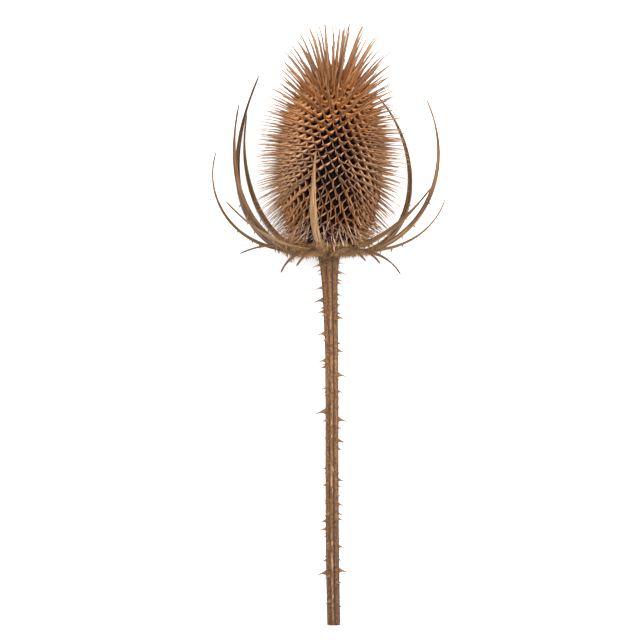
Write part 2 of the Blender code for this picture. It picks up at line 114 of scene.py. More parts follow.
# Its colour, ring by ring: how far up it is, how pale, and how much of it bleaches low down in
# front. Then how pale each of the eight points of a ring is, and the least at the cell's rim.
# The deep rings, near 0, are painted shade inside the cell. The pale rim, wing tips and keel are
# partly the straw's own colour and partly painted highlight; the faces between them are partly
# painted shade.
CLIMB_BY_RING = (0.0, 0.15, 0.30, 0.36, 0.44, 0.56, 0.8, 1.0)
PALE_AND_UNSHADED_BY_RING = (0, 0.2, 1, 1, 0.95, 0.9, 0.8, 0.7)
BLEACHED_BY_RING = (0, 0, 0, 0.4, 1, 1, 1, 1)
PALE_AND_HIGHLIGHT_AROUND = (0.7, 0.0, 1.0, 0.25, 0.0, 0.25, 1.0, 0.0)
RIM = 2
RIM_PALENESS = 0.38
SPINE_BOW = 0.04
SPINE_SWAY = 0.035
CORE_DEPTH = 3.0 * MM
TUFT_WIDER = 0.85
PALE_BELOW = 10 * MM
BROWN_BELOW = 18 * MM
SHORT_BELOW = 2.2 * MM
SHORT_SHARE = 0.5
TIP_OVER = 0.9 * MM
# Height of a palea and how wide its spine is there, as a share of the usual.
AWN_SLIMNESS = ((0 * MM, 0.42), (12 * MM, 0.55), (22 * MM, 1.0))
# The saucer under the head: radius and height of its rings in millimetres.
SAUCER = (
    (3.6, -1.9), (4.4, -1.5), (6.4, -1.1), (8.6, -0.8),
    (9.6, -0.45), (9.7, -0.1), (8.8, 0.25),
)
# Fine awns and hairs: how many or where, their millimetres of length, half their thickness,
# and the degrees that they climb.
WHISKERED = 9.5 * MM
WHISKER_BEARINGS = math.radians(52)
WHISKER_LENGTHS = (3.2, 6.2)
WHISKER_HALF = 0.11 * MM
BRISTLES = 1500
BRISTLE_LENGTHS = (0.7, 2.1)
BRISTLE_RISES = (-75, 12)
SKIRT = 560
SKIRT_BEARINGS = (138, 402)
SKIRT_RADII = (8.0, 10.2)
SKIRT_LENGTHS = (3.5, 7.5)
SKIRT_RISES = (-20, 30)
SKIRT_HALF = (0.13 * MM, 0.21 * MM)
COLLAR_HAIRS = 420
COLLAR_HAIR_LENGTHS = (0.6, 1.5)
COLLAR_HAIR_HALF = 0.075 * MM
BRACT_HAIRS = 160
BRACT_HAIR_LENGTHS = (0.5, 2.0)
BRACT_HAIR_HALF = 0.08 * MM
HAIRY = 13.0 * MM

# The stem: millimetres down from the foot of the head, to the right, and of radius.
STEM_RUN = (
    (-0.05, 0.0, 4.0),
    (2.9, 0.0, 3.9),
    (4.6, 0.0, 3.3),
    (7.5, 0.1, 2.85),
    (12.0, 0.2, 2.55),
    (21.0, 0.5, 2.3),
    (36.0, 0.9, 2.12),
    (54.0, 1.0, 2.1),
    (72.0, 1.0, 2.1),
    (90.0, 1.05, 2.1),
    (108.0, 1.25, 2.1),
    (126.7, 1.6, 2.05),
)
STEM_TOP, STEM_END = STEM_RUN[0][0] * MM, STEM_RUN[-1][0] * MM
STEM_RIDGES = 8
RIDGE_HEIGHT = 0.06
RIDGE_TWIST = math.radians(8)
# The bark's finer relief as shares of the radius, its rings above and below the collar's end,
# and the bearings of its dark grooves and its pale crest.
RIBS_AROUND = (19, 27, 34)
RIB_HEIGHT = 0.02
DENT_WAVES = ((900, 3), (1500, -5), (2300, 7))
DENT_DEPTH = 0.012
BARK_AROUND = 144
BARK_RINGS = (40, 220)
COLLAR_END = 12 * MM
GROOVES = (68, 112)
CREST = 90
STREAK_WIDTH = math.radians(5)
LEFT_PRICKLES = (
    (6.6, 2.0), (14.2, 2.5), (18.3, 3.5), (22.1, 2.5), (29.4, 2.7), (38.4, 2.6), (40.6, 2.2),
    (55.4, 3.9), (74.4, 1.1), (80.0, 1.2), (91.9, 2.0), (94.6, 2.3), (105.0, 1.6), (109.2, 3.6),
)
RIGHT_PRICKLES = (
    (9.0, 2.6), (12.6, 1.9), (16.5, 1.7), (19.8, 1.5), (24.1, 2.7), (35.2, 2.5), (43.2, 3.1),
    (58.1, 3.4), (65.1, 2.4), (67.9, 1.5), (78.2, 2.4), (86.4, 2.1), (89.5, 1.4), (100.4, 2.2),
    (108.4, 3.4), (112.5, 1.0),
)
FRONT_PRICKLES = (
    (27.3, 2.6), (46.9, 2.8), (59.3, 2.2), (63.6, 2.0), (74.6, 2.6), (81.7, 2.4), (99.3, 2.6),
    (106.8, 2.8), (117.1, 2.4),
)
# Small prickles at the outlines: bearing, millimetres down and length.
SMALL_PRICKLES = (
    (0, 11.6, 1.9), (0, 22.7, 1.7), (0, 48.8, 1.7), (0, 97.8, 0.5), (0, 120.4, 0.9),
    (180, 9.6, 0.7), (180, 49.0, 0.4), (180, 86.0, 0.4), (180, 97.0, 0.5),
)
OUTLINE_SPREAD = 14
FRONT_SPREAD = 7
ROW_SPREAD = 9
PRICKLE_ROWS = (48, 132, 225, 268, 312)
UNDERSIDE = (200, 340)
PRICKLE_GAP = 9.6 * MM
PRICKLE_FIRST = 6.5 * MM
PRICKLE_LENGTHS = (2.9 * MM, 1.5 * MM, 2.2 * MM)
PRICKLE_DROOP = 0.35
PRICKLE_ROOT = 0.88
PRICKLE_FOOT = 0.68
PRICKLE_OVER = 0.5 * MM
# The cut end: share of the radius, millimetres sunk, and how much of it is pith.
CUT_FACE = (
    (0.93, 0.0, 0.0), (0.80, 0.05, 0.4), (0.66, 0.1, 1.0), (0.30, 0.3, 1.0), (0.05, 0.35, 1.0),
)
CUT_END_CLEAR = 5.0 * MM
BARE_UNDERSIDE = 17.0 * MM

# Bracts: name, bearing at root and tip, length, rise at root and tip, bend, root height, width.
BRACT_ROOT_RADIUS = 4.35 * MM
UPPER_TIER = -0.7 * MM
LOWER_TIER = -1.9 * MM
SPUR_TIER = -2.8 * MM
BRACTS = (
    ("bract_right_outer", 347, 360, 42.5 * MM, -11, 75, 1.32, UPPER_TIER, 1.6 * MM),
    ("bract_right_long", 8, 19, 71.6 * MM, -14, 116, 0.77, LOWER_TIER, 2.5 * MM),
    ("bract_right_front", 33, 26, 40.2 * MM, -18, 54, 0.49, UPPER_TIER, 2.2 * MM),
    ("bract_front", 105, 98, 47.9 * MM, -4, 104, 1.01, UPPER_TIER, 2.8 * MM),
    ("bract_left_slender", 131, 151, 40.1 * MM, -14, 53, 0.79, UPPER_TIER, 1.2 * MM),
    ("bract_left_front", 158, 136, 69.5 * MM, -20, 96, 0.60, LOWER_TIER, 2.4 * MM),
    ("bract_left_outer", 183, 173, 56.9 * MM, -12, 110, 1.15, UPPER_TIER, 1.8 * MM),
    ("bract_left_long", 204, 234, 85.5 * MM, -21, 113, 0.67, LOWER_TIER, 2.5 * MM),
    ("bract_left_back", 228, 224, 69.0 * MM, -20, 108, 0.76, UPPER_TIER, 2.3 * MM),
    ("bract_under_left", 255, 249, 69.0 * MM, -8, 104, 0.58, LOWER_TIER, 2.5 * MM),
    ("bract_under_right", 285, 291, 68.0 * MM, -8, 104, 0.58, UPPER_TIER, 2.5 * MM),
    ("bract_right_back", 329, 311, 77.8 * MM, -13, 144, 0.93, LOWER_TIER, 2.5 * MM),
)
SPURS = (
    ("spur_right_long", 25, 13, 23.6 * MM, 14, -65, 1.29, SPUR_TIER, 1.3 * MM),
    ("spur_right_mid", 43, 42, 20.1 * MM, 14, -51, 1.52, SPUR_TIER, 1.2 * MM),
    ("spur_right_short", 74, 65, 25.6 * MM, 12, -46, 1.98, SPUR_TIER, 1.2 * MM),
    ("spur_left_short", 114, 120, 19.0 * MM, 17, -50, 1.10, SPUR_TIER, 1.3 * MM),
    ("spur_left_mid", 143, 143, 18.8 * MM, 18, -65, 1.00, SPUR_TIER, 1.5 * MM),
    ("spur_left_long", 169, 168, 27.3 * MM, 20, -28, 1.28, SPUR_TIER, 1.2 * MM),
    ("spur_back_left", 238, 240, 16.0 * MM, 6, -14, 1.00, SPUR_TIER, 1.2 * MM),
    ("spur_back_right", 302, 300, 14.0 * MM, 6, -12, 1.00, SPUR_TIER, 1.2 * MM),
)
LINE_STATIONS = 60
BRACT_STATIONS = 70
SPUR_STATIONS = 24
BRACT_POINT = 0.75 * MM
POINT_RUN = 0.06
LEAST_WIDTH = 0.05 * MM
# How light each blade is painted where the photograph shows it well, and how light the others
# are: painted light and shade, the front blade brighter as it faces the light, the others darker
# as if shaded.
OTHER_PAINTED_LIGHT = 0.6
BRACT_PAINTED_LIGHT = {
    "bract_front": 1.25, "bract_right_outer": 0.9, "bract_left_slender": 0.9,
    "bract_right_long": 0.66, "bract_left_long": 0.46, "bract_left_front": 0.52,
}
BRACT_AROUND = 16
BRACT_CORE = 0.35 * MM
BRACT_DEPTH_SHARE = 0.62
ROOT_NARROWING = 0.28
ROOT_THINNING = 0.45
ROOT_REACH = 0.12
BRACT_PRICKLES = 5
BRACT_PRICKLE_STATIONS = 15
BRACT_PRICKLE_FROM, BRACT_PRICKLE_TO = 0.14, 0.47
BRACT_PRICKLE_LENGTH = 1.3 * MM

# The camera looks square at the plant; the photograph has 3 pixels to the millimetre.
FRAME_WIDTH = 640 / 3 * MM
FRAME_CENTRE = (-3.0 * MM, -25.0 * MM)
LENS = 300.0
SENSOR = 36.0

# The light: where each lamp is, how wide and how strong, what both face, and the sky's strength.
LAMPS = {
    "key": ((0.05, 0.1, 0.95), 0.5, 14.0),
    "fill": ((0.5, -0.35, 0.8), 0.8, 7.0),
}
LAMPS_FACE = (0, 0.02, 0.02)
SKY_STRENGTH = 1.03

LIE = Matrix.Translation(HEAD_FOOT_AT) @ Euler((LIE_PITCH, LIE_ROLL, 0.0)).to_matrix().to_4x4()


# Vectors

def unit(vectors):
    return vectors / np.maximum(np.linalg.norm(vectors, axis=-1, keepdims=True), 1e-12)


def square_to(vectors, axis):
    """What is left of vectors without their part along a unit axis."""
    return vectors - (vectors * axis).sum(-1, keepdims=True) * axis


def around(count):
    """Bearings spaced evenly round the plant."""
    return np.linspace(0, math.tau, count, endpoint=False)


def from_axis(r, bearing, y):
    """Points by radius and bearing about the plant's axis, and height along it."""
    return np.stack(np.broadcast_arrays(r * np.cos(bearing), y, r * np.sin(bearing)), -1)


# Numbers shared with the solid model

def egg_radius(y):
    """Radius of the head at height y: an ellipse over the waist, a squarer one under it."""
    over = np.clip((y - HEAD_WAIST) / (HEAD_TOP - HEAD_WAIST), 0, 1)
    under = np.clip((HEAD_WAIST - y) / HEAD_DROP, 0, 1)
    lower = (1 - under**FOOT_SQUARENESS) ** (1 / FOOT_SQUARENESS)
    return HEAD_RADIUS * np.sqrt(1 - over**2) * lower


def egg_profile():
    """The head's outline, foot to top: height, radius, arc length and slope of its normal."""
    below = np.linspace(HEAD_FOOT, HEAD_WAIST, 160)
    above = HEAD_WAIST + (HEAD_TOP - HEAD_WAIST) * np.sin(np.linspace(0, math.pi / 2, 320))
    y = np.concatenate([below, above[1:]])
    r = np.maximum(egg_radius(y), 1e-3 * MM)
    step = np.hypot(np.diff(y), np.diff(r))
    s = np.concatenate([[0], np.cumsum(step)])
    slope = np.arctan2(-np.gradient(r, s), np.gradient(y, s))
    return {"y": y, "r": r, "s": s, "slope": slope}


def along(profile, what, s):
    return np.interp(s, profile["s"], profile[what])


def first_zigzag():
    """Climb and bearing of the first paleae: a closed zigzag of one cell's steps, up along the
    rising spirals and down along the falling ones, so both kinds of spiral run on from it."""
    rising = np.linspace(0, math.asin(FALLING_SPIRALS / RISING_SPIRALS), 4000)
    falling = np.arcsin(RISING_SPIRALS / FALLING_SPIRALS * np.sin(rising))
    span = CELL * (RISING_SPIRALS * np.cos(rising) + FALLING_SPIRALS * np.cos(falling))
    fit = int(np.argmin(np.abs(span - math.tau * HEAD_RADIUS)))
    climb, across, ring = 0.0, 0.0, []
    for _ in range(RISING_SPIRALS + FALLING_SPIRALS):
        ring.append((climb, -across / span[fit] * math.tau))
        angle = rising[fit] if climb <= 1e-9 else -falling[fit]
        climb += CELL * math.sin(angle)
        across += CELL * math.cos(angle)
    return ring


def pack_cells(profile, rng):
    """Sites (arc length, bearing) of the paleae. A zigzag of them goes round the waist, and each
    further one takes the lowest gap left on the front, as discs stack, up and then down."""
    bearings = around(BEARINGS)
    ring = first_zigzag()
    waist = np.interp(HEAD_WAIST, profile["y"], profile["s"])
    sites = [(waist + climb, bearing) for climb, bearing in ring]
    room_above = profile["s"][-1] - BARE_TOP - waist
    room_below = waist - BARE_FOOT
    for way, room in ((1, room_above), (-1, room_below)):
        front = np.full(BEARINGS, -1.0)
        fresh = [(way * climb, bearing) for climb, bearing in ring]
        while True:
            for climb, bearing in fresh:
                reach = CELL * (1 + CELL_SPREAD * rng.uniform(-1, 1))
                radius = along(profile, "r", waist + way * climb)
                chord = 2 * radius * np.abs(np.sin((bearings - bearing) / 2))
                dome = climb + np.sqrt(np.clip(reach**2 - chord**2, 0, None))
                front = np.where(chord < reach, np.maximum(front, dome), front)
            lowest = int(np.argmin(front))
            if front[lowest] > room:
                break
            fresh = [(float(front[lowest]), bearings[lowest])]
            sites.append((waist + way * fresh[0][0], bearings[lowest]))
    return np.array(sites)


def leaned(points):
    """Points of the upright head, moved sideways as its axis bends over to the right."""
    x, y, z = np.moveaxis(points, -1, 0)
    return np.stack([x + y**2 / (2 * HEAD_BEND_RADIUS), y, z], -1)


def leaned_way(way, y):
    """Directions on the upright head at height y, turned with its bent axis."""
    turn = y / HEAD_BEND_RADIUS
    x, up, z = np.moveaxis(way, -1, 0)
    across = x * np.cos(turn) + up * np.sin(turn)
    upward = up * np.cos(turn) - x * np.sin(turn)
    return np.stack([across, upward, z], -1)


def on_head(profile, s, bearing, sunk=0.0):
    """Points at arc length s and a bearing, sunk below the honeycomb's rim square to it."""
    slope = along(profile, "slope", s)
    r = along(profile, "r", s) - sunk * np.cos(slope)
    y = along(profile, "y", s) - sunk * np.sin(slope)
    return leaned(from_axis(r, bearing, y))


def heading(bearing, rise):
    """Unit vectors that point out at a bearing and climb at an angle."""
    return from_axis(np.cos(rise), bearing, np.sin(rise))


def spines(profile, sites, rng, lines):
    """Root, direction and length of each palea's spine, lifted where a bract is in its way."""
    s, bearing = sites.T
    y = along(profile, "y", s)
    scatter = rng.uniform(-1, 1, (len(sites), 3))
    heights, lengths, leans = (np.array(SPINE_RUN) * (MM, MM, 1)).T
    length = np.interp(y, heights, lengths) * (1 + SPINE_LENGTH_SPREAD * scatter[:, 0])
    lean = np.radians(np.interp(y, heights, leans))
    rise = along(profile, "slope", s) + lean + SPINE_SCATTER * scatter[:, 1]
    course = bearing + SPINE_SCATTER * scatter[:, 2]
    root = on_head(profile, s, bearing)
    lift = np.zeros(len(sites))
    for i in np.argsort(s):
        below = (s < s[i]) & (np.linalg.norm(root - root[i], axis=1) < NEIGHBOURS_WITHIN)
        if below.any():
            lift[i] = max(0.0, lift[below].max() - LIFT_PASSED_ON)
        while lift[i] < LIFT_MOST:
            way = leaned_way(heading(course[i], rise[i] + lift[i]), y[i])
            if clear_of_bracts(root[i], way, length[i], lines):
                break
            lift[i] += LIFT_STEP
    return root, leaned_way(heading(course, rise + lift), y), length


def clear_of_bracts(root, way, length, lines):
    """Whether a straight spine keeps off every bract's middle line, by the bract's half width."""
    points = root + np.linspace(0.1, 1.0, 9)[:, None] * length * way
    for line, half_width in lines:
        gap = np.linalg.norm(points[:, None] - line[None], axis=2).min(0)
        if (gap < half_width + SPINE_CLEARANCE).any():
            return False
    return True


def stem_line(down):
    """Middle points and radii of the stem at distances down from the foot of the head."""
    depths, bows, radii = np.array(STEM_RUN).T * MM
    x = np.interp(down, depths, bows)
    return np.stack([x, -down, np.zeros_like(down)], -1), np.interp(down, depths, radii)


def prickle_places(rng):
    """Bearing in degrees, distance down and length of every prickle on the stem."""
    places = []
    for bearing, spread, known in ((180, OUTLINE_SPREAD, LEFT_PRICKLES),
                                   (0, OUTLINE_SPREAD, RIGHT_PRICKLES),
                                   (90, FRONT_SPREAD, FRONT_PRICKLES)):
        places += [(bearing + rng.uniform(-spread, spread), down * MM, size * MM)
                   for down, size in known]
    for number, row in enumerate(PRICKLE_ROWS):
        end = STEM_END - (BARE_UNDERSIDE if UNDERSIDE[0] < row < UNDERSIDE[1] else CUT_END_CLEAR)
        start = PRICKLE_FIRST + PRICKLE_GAP * ((number * 0.618) % 1)
        for k, down in enumerate(np.arange(start, end, PRICKLE_GAP)):
            down = np.clip(down + rng.uniform(-0.25, 0.25) * PRICKLE_GAP, PRICKLE_FIRST, end)
            size = PRICKLE_LENGTHS[(number + k) % len(PRICKLE_LENGTHS)] * rng.uniform(0.8, 1.1)
            places.append((row + rng.uniform(-ROW_SPREAD, ROW_SPREAD), down, size))
    return np.array(places)


def bract_line(spec, stations):
    """Middle points, directions and inward normals of a bract, by its turning rise."""
    _, root, tip, length, rise_root, rise_tip, bend, height, _ = spec
    t = np.linspace(0, 1, stations)
    rise = np.radians(rise_root + (rise_tip - rise_root) * t**bend)
    step = length / (stations - 1)
    mean = (rise[1:] + rise[:-1]) / 2
    r = BRACT_ROOT_RADIUS + np.concatenate([[0], np.cumsum(np.cos(mean) * step)])
    y = height + np.concatenate([[0], np.cumsum(np.sin(mean) * step)])
    bearing = np.radians(root + (tip - root) * t)
    points = from_axis(r, bearing, y)
    ahead = unit(np.gradient(points, axis=0))
    inward = unit(square_to(heading(bearing, rise + math.pi / 2), ahead))
    return t, points, ahead, inward


def bract_at(spec, stations, share):
    """Middle points, directions and inward normals of a bract at shares of its length."""
    t, *parts = bract_line(spec, stations)
    return [np.stack([np.interp(share, t, part[:, axis]) for axis in range(3)], -1)
            for part in parts]


def bract_width(t, width):
    """Width along a bract: a little narrow at the root, then tapering to the tip."""
    root = 1 - ROOT_NARROWING * (1 - np.minimum(t / ROOT_REACH, 1))
    return width * root * (1 - t**3)


def bract_depth(t, width):
    """Depth from margin to keel along a bract, in step with its width but thinner at the root."""
    root = 1 - ROOT_THINNING * (1 - np.minimum(t / ROOT_REACH, 1))
    return bract_width(t, width) * (BRACT_DEPTH_SHARE + BRACT_CORE / width) * root


# Meshes

def placed(name, data):
    """A new object in the scene."""
    made = bpy.data.objects.new(name, data)
    bpy.context.scene.collection.objects.link(made)
    return made


def closed_tubes(name, points, marks, part, finish):
    """A piece of closed tubes that takes over from the solid named part. points[n, k, m] is point
    m of ring k of tube n. Quads join each ring to the next, and each end ring is filled by one
    face. Marks are numbers per point."""
    tubes, rings, sides, _ = points.shape
    index = np.arange(points[..., 0].size).reshape(tubes, rings, sides)
    after = np.roll(index, -1, axis=2)
    quads = np.stack([index[:, :-1], after[:, :-1], after[:, 1:], index[:, 1:]], -1)
    caps = np.stack([index[:, 0, ::-1], index[:, -1]], 1)
    middle = points.mean((1, 2), keepdims=True)
    corner = (points - middle).reshape(-1, 3)[quads]
    face = np.cross(corner[..., 2, :] - corner[..., 0, :], corner[..., 3, :] - corner[..., 1, :])
    if (face * corner.mean(-2)).sum() < 0:
        quads, caps = quads[..., ::-1], caps[..., ::-1]
    quads, caps = quads.reshape(-1, 4), caps.reshape(-1, sides)
    starts = np.append(np.arange(len(quads)) * 4, quads.size + np.arange(len(caps)) * sides)
    laid = points.reshape(-1, 3) @ np.array(LIE.to_3x3()).T + np.array(LIE.translation)
    laid[:, 2] = np.maximum(laid[:, 2], 0.0)
    mesh = bpy.data.meshes.new(name)
    mesh.vertices.add(len(laid))
    mesh.vertices.foreach_set("co", laid.ravel())
    mesh.loops.add(quads.size + caps.size)
    mesh.loops.foreach_set("vertex_index", np.concatenate([quads.ravel(), caps.ravel()]))
    mesh.polygons.add(len(starts))
    mesh.polygons.foreach_set("loop_start", starts)
    mesh.update(calc_edges=True)
    mesh.shade_smooth()
    for mark, values in marks.items():
        layer = mesh.attributes.new(mark, "FLOAT", "POINT")
        layer.data.foreach_set("value", np.broadcast_to(values, points.shape[:3]).ravel())
    mesh.materials.append(MATERIALS[finish])
    piece = placed(name, mesh)
    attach(piece, "root")
    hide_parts(part)


def upper_neighbours(profile, sites):
    """For each palea, the nearest one up to the left and up to the right, by arc length and
    bearing, or a place where it would be if the head ends there."""
    s, bearing = sites.T
    radius = along(profile, "r", s)
    rise = s[None] - s[:, None]
    turn = (bearing[None] - bearing[:, None] + math.pi) % (math.tau) - math.pi
    side = turn * (radius[None] + radius[:, None]) / 2
    gap = np.hypot(rise, side)
    closest, furthest = NEIGHBOUR_GAPS
    found = []
    for way in (-1, 1):
        slant = np.abs(np.arctan2(side * way, rise) - CELL_SLANT)
        cost = gap + SLANT_COST * slant
        cost[(gap < closest) | (gap > furthest) | (slant > SLANT_SLACK)] = np.inf
        chosen = cost.argmin(1)
        missing = np.isinf(cost.min(1))
        turned = bearing + way * NEXT_ACROSS / np.maximum(radius, CELL)
        far_s = np.where(missing, s + NEXT_UP, s[chosen])
        far_turn = np.where(missing, turned, bearing[chosen])
        found.append((np.minimum(far_s, profile["s"][-1] - 0.1 * MM), far_turn))
    return found


def paleae(profile, sites, root, way, length, rng):
    """Every palea as a closed boat. Its path goes straight out of the cell and then along the
    spine, which bows by SPINE_BOW of its length: c(t) = root + t length way + 4 t (1 - t) bow up.
    A ring is a V of eight points whose wings reach for the two upper neighbours and shrink
    to the spine."""
    s, bearing = sites.T
    count = len(s)
    slope = along(profile, "slope", s)
    level = along(profile, "y", s)
    out = leaned_way(heading(bearing, slope), level)
    up = leaned_way(heading(bearing, slope + math.pi / 2), level)
    side = np.cross(up, out)
    swell = 1 + TUFT_SWELL * np.clip((length - TUFT_FROM) / TUFT_RUN, 0, 1)
    spread = 1 + rng.uniform(-0.12, 0.12, count)
    sway = SPINE_SWAY * rng.uniform(-1, 1, count)
    arch = SPINE_BOW * rng.uniform(0.4, 1.4, count)
    heights = np.concatenate([
        np.tile(np.array(PALEA_HEIGHTS) * MM, (count, 1)) * swell[:, None],
        length[:, None] * np.array(PALEA_SHARES),
        length[:, None] + TIP_OVER,
    ], 1)
    heights[:, len(PALEA_HEIGHTS):] *= np.where(level < SHORT_BELOW, SHORT_SHARE, 1.0)[:, None]
    t = heights / length[:, None]
    aside = arch[:, None] * up + sway[:, None] * side
    bow = length[:, None, None] * 4 * (t * (1 - t))[..., None] * aside[:, None]
    spine = root[:, None] + heights[..., None] * way[:, None] + bow
    depths = np.array(PALEA_DEPTHS) * MM
    cell = root[:, None] + depths[None, :, None] * out[:, None]
    path = np.concatenate([cell, spine], 1)
    rings = path.shape[1]
    reach, rise = np.array(PALEA_REACH), np.array(PALEA_RISE)
    wall, keel = np.array(PALEA_WALL) * MM, np.array(PALEA_KEEL) * MM
    grow = np.ones((count, rings))
    slim = np.interp(level, *np.array(AWN_SLIMNESS).T)
    grow[:, len(depths):] = (slim + (swell - 1) * TUFT_WIDER / TUFT_SWELL)[:, None]
    wings = []
    for far_s, far_turn in upper_neighbours(profile, sites):
        goal = np.stack([on_head(profile, far_s, far_turn, -d) for d in depths], 1) - cell
        goal = np.concatenate([goal, np.repeat(goal[:, -1:], rings - len(depths), 1)], 1)
        sideways = (goal * side[:, None]).sum(-1)[..., None] * side[:, None]
        aimed = sideways + (goal - sideways) * rise[None, :, None]
        wings.append(aimed * (reach * grow)[..., None])
    stout = grow * np.where(np.arange(rings) < len(depths), 0.3 + 0.7 * slim[:, None], 1)
    keel_up = (keel * stout * spread[:, None])[..., None] * up[:, None]
    section = [path - 0.6 * keel_up, None, None, None, path + 0.4 * keel_up, None, None, None]
    sag = (PALEA_SAG * reach)[None, :, None] * up[:, None]
    for wing, (low, tip, high) in zip(wings, ((7, 6, 5), (1, 2, 3))):
        across = unit(square_to(up[:, None], unit(wing)))
        half = (wall * stout)[..., None] * across / 2
        section[low] = path + 0.5 * wing - sag - half
        section[high] = path + 0.5 * wing - sag + half
        section[tip] = path + wing
    points = np.stack(section, 2)
    # Paleness, marked as edge: near 0 deep in the cell and between the wings, which is painted shade;
    # high on the rim, wing tips and keel, which is partly own colour and partly painted highlight;
    # and more where the foot is bleached.
    pale = np.array(PALE_AND_HIGHLIGHT_AROUND)[None, None, :] * np.array(PALE_AND_UNSHADED_BY_RING)[None, :, None]
    pale[:, RIM] = np.maximum(pale[:, RIM], RIM_PALENESS)
    in_front = np.clip(1.7 * np.sin(bearing) - 0.6, 0, 1)
    low = np.clip(1.3 * (1 - level / PALE_BELOW), 0, 1) * in_front
    beyond = np.array(BLEACHED_BY_RING)[None, :, None]
    marks = {
        "climb": np.array(CLIMB_BY_RING)[None, :, None],
        "edge": pale + (1 - pale) * low[:, None, None] * beyond,
        "tone": rng.uniform(0, 1, count)[:, None, None],
        "height": np.clip(level / HEAD_TOP, 0, 1)[:, None, None],
        "bleach": low[:, None, None],
        "brown": (np.clip(1.5 - level / BROWN_BELOW, 0, 1) * (1 - low))[:, None, None],
    }
    closed_tubes("paleae", points, marks, "seed_head", "palea")


def receptacle(profile):
    """The heart of the head as a turned surface: a saucer that runs out from the collar to the
    rim of the foot, and over it the egg, painted nearly black as the shade deep in the cells,
    sunk by CORE_DEPTH but up to the skin at its foot."""
    s = np.linspace(0, profile["s"][-1] * 0.985, 60)
    turn = around(72)
    bearing, arc = np.meshgrid(turn, s)
    sunk = CORE_DEPTH * np.clip(0.1 + 0.9 * arc / (1.6 * CELL), 0, 1)
    egg = on_head(profile, arc, bearing, sunk)
    r, y = np.array(SAUCER).T * MM
    points = np.concatenate([from_axis(r[:, None], turn, y[:, None]), egg])
    marks = {"level": (points[..., 1] / MM)[None]}
    closed_tubes("receptacle", points[None], marks, "seed_head", "heart")


def spikes(base, out, droop, length, half, sides, rings, foot=0.0):
    """Curved spikes as rings of points: p(t) = base + length (t out + t^2 droop). The radius is
    half times (1 - foot) (1 - t)^0.6 + foot (1 - t)^5 and never under 0.08; half is given along
    the droop and across it, and a foot near 1 makes a broad concave one."""
    t = np.linspace(0, 1, rings)
    path = base[:, None] + length[:, None, None] * (
        t[None, :, None] * out[:, None] + (t**2)[None, :, None] * droop[:, None])
    lengthwise = unit(square_to(droop, out))
    across = np.cross(out, lengthwise)
    turn = around(sides)
    fade = np.maximum((1 - foot) * (1 - t) ** 0.6 + foot * (1 - t) ** 5, 0.08)[None, :, None, None]
    ring = (half[:, 0, None, None] * np.cos(turn)[None, :, None] * lengthwise[:, None]
            + half[:, 1, None, None] * np.sin(turn)[None, :, None] * across[:, None])
    return path[:, :, None] + fade * ring[:, None], t


def fine_spikes(name, part, finish, spike, rings, rng):
    """A piece of fine four-sided spikes, each a little lighter or darker by a draw. spike is
    what spikes() takes, from base to half."""
    points, t = spikes(*spike, 4, rings)
    marks = {"climb": t[None, :, None], "tone": rng.uniform(0, 1, len(points))[:, None, None]}
    closed_tubes(name, points, marks, part, finish)


def streak(turn, degrees):
    """A soft line along the stem at a bearing."""
    return np.exp(-((turn - math.radians(degrees)) / STREAK_WIDTH) ** 2)


def stem_bark(rng):
    """The stem as a turned surface whose radius rises on its ridges and on finer ribs:
    r (1 + RIDGE_HEIGHT (2 |cos 4a|^0.8 - 1) + ribs), with shallow dents along its length. It
    turns in over the cut end, where the pith shows."""
    above, below = BARK_RINGS
    down = np.concatenate([np.linspace(STEM_TOP, COLLAR_END, above)[:-1],
                           np.linspace(COLLAR_END, STEM_END, below)])
    middle, radius = stem_line(down)
    smooth = np.exp(-np.linspace(-2.5, 2.5, 11) ** 2)
    inner = np.convolve(np.pad(radius, 5, "edge"), smooth / smooth.sum(), "valid")
    turn = around(BARK_AROUND)
    course = turn[None] + (RIDGE_TWIST * down / STEM_END)[:, None]
    ridge = 2 * np.abs(np.cos(STEM_RIDGES / 2 * turn)) ** 0.8 - 1
    waver = sum(np.sin(turn * k + rng.uniform(0, 6.3)) for k in RIBS_AROUND) / len(RIBS_AROUND)
    dents = sum(np.sin(down[:, None] * f + turn[None] * k + rng.uniform(0, 6.3))
                for f, k in DENT_WAVES) / len(DENT_WAVES)
    relief = 1 + RIDGE_HEIGHT * ridge[None] + RIB_HEIGHT * waver[None] + DENT_DEPTH * dents
    points = middle[:, None] + from_axis(inner[:, None] * relief, course, 0.0)
    inside = np.array(CUT_FACE)
    cut = middle[-1] + (points[-1] - middle[-1]) * inside[:, 0, None, None]
    cut[..., 1] += inside[:, 1, None] * MM
    points = np.concatenate([points, cut])
    down = np.append(down, [down[-1]] * len(inside))
    at_top = np.clip(1.6 - down / (9 * MM), 0, 1)[:, None]
    under_top = np.clip(down / (14 * MM) - 0.6, 0, 1)[:, None]
    whole, short = (streak(turn, bearing)[None] for bearing in GROOVES)
    marks = {
        "ridge": (0.5 + 0.5 * ridge)[None, None, :],
        "down": (down / STEM_END)[None, :, None],
        "turn_sin": np.sin(turn)[None, None, :],
        "turn_cos": np.cos(turn)[None, None, :],
        "groove": (whole + at_top * short)[None],
        "crest": (under_top * streak(turn, CREST)[None])[None],
        "pith": np.append(np.zeros(len(down) - len(inside)), inside[:, 2])[None, :, None],
    }
    closed_tubes("stem_bark", points[None], marks, "stem", "stem")


